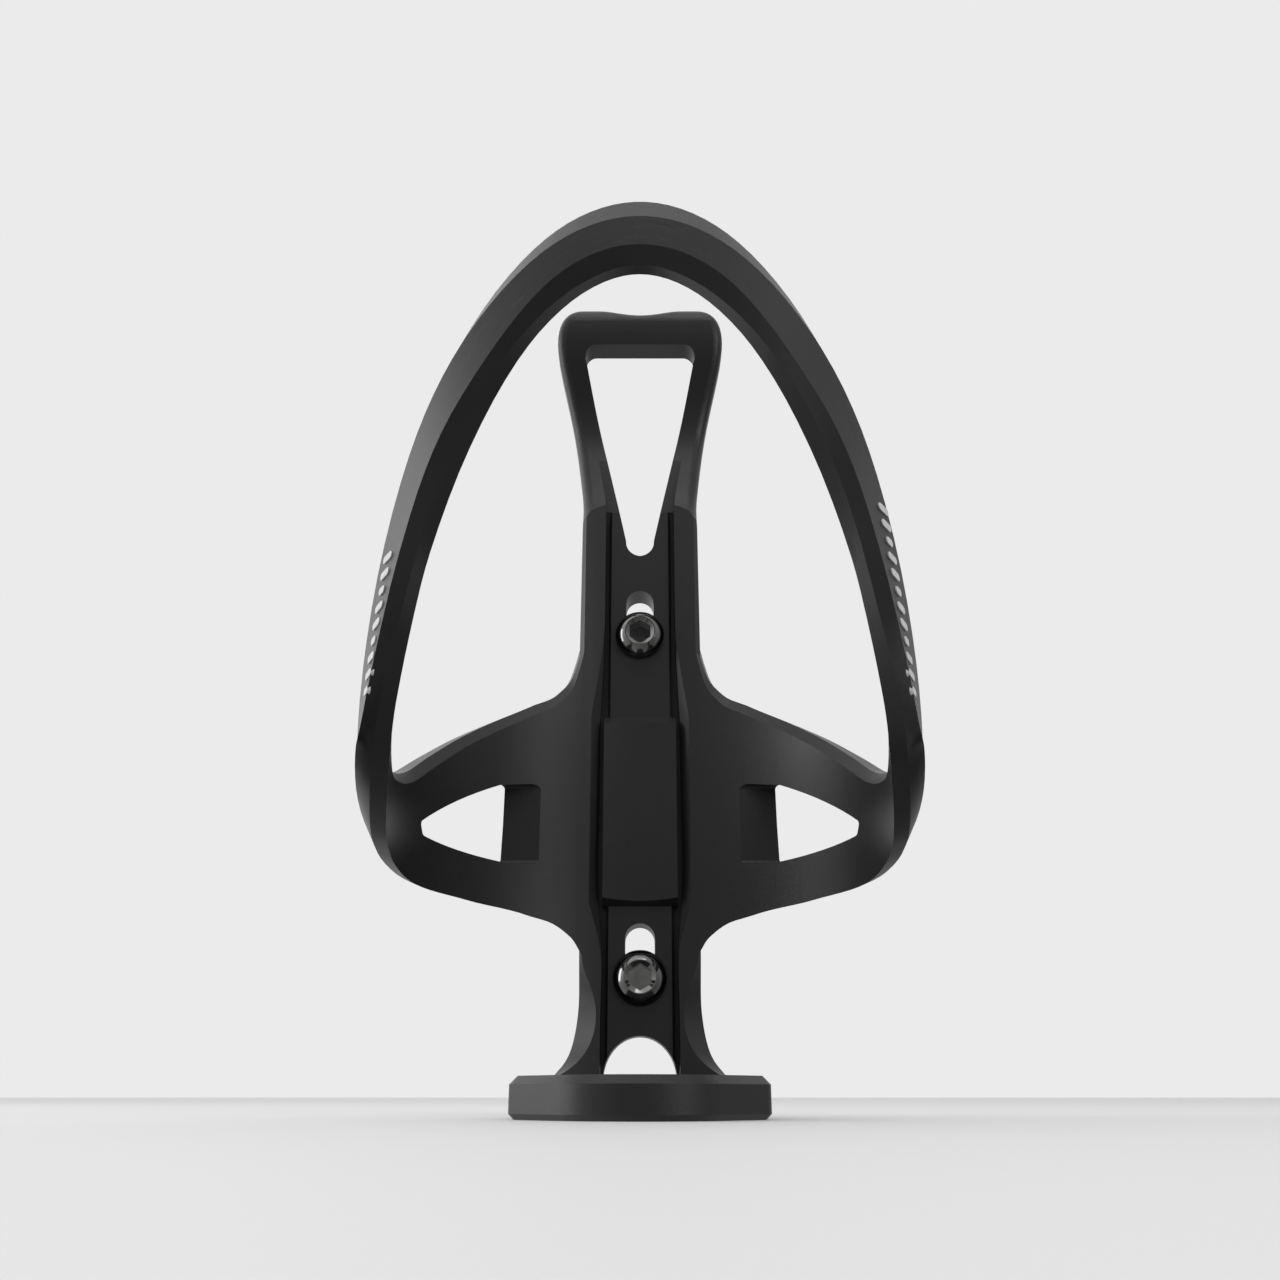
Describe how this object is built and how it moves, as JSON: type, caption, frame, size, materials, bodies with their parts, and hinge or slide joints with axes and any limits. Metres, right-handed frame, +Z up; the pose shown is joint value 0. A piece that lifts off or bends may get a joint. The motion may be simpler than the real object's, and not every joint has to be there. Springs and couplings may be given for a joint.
{
  "type": "water bottle cage",
  "caption": "Moulded bicycle bottle cage: slotted back spine with a foot shelf, windowed side wings, a hoop round the front and a sprung top tongue, with frame bolts.",
  "frame": {"origin": "on the bottle's axis, at the underside of the foot shelf", "axes": "+Z up the bottle, +Y back towards the bicycle's tube, +X to the right seen from the front"},
  "size_m": [0.0844, 0.0929, 0.1586],
  "materials": {
    "black_plastic": "fine satin-matte moulded plastic",
    "dark_chrome": "dark polished steel",
    "white_mark": "raised white bars"
  },
  "bodies": {
    "cage": {"cage_body": "black_plastic", "left_side_marks": "white_mark", "right_side_marks": "white_mark"},
    "upper_bolt": {"upper_bolt": "dark_chrome"},
    "lower_bolt": {"lower_bolt": "dark_chrome"}
  },
  "joints": [
    {"name": "upper_bolt_slide", "type": "slide", "parent": "cage", "child": "upper_bolt", "axis": [0, 0, 1], "range_m": [0, 0.0067]},
    {"name": "lower_bolt_slide", "type": "slide", "parent": "cage", "child": "lower_bolt", "axis": [0, 0, 1], "range_m": [0, 0.0067]}
  ],
  "couplings": [
    {"joint": "lower_bolt_slide", "follows": "upper_bolt_slide", "ratio": 1}
  ]
}
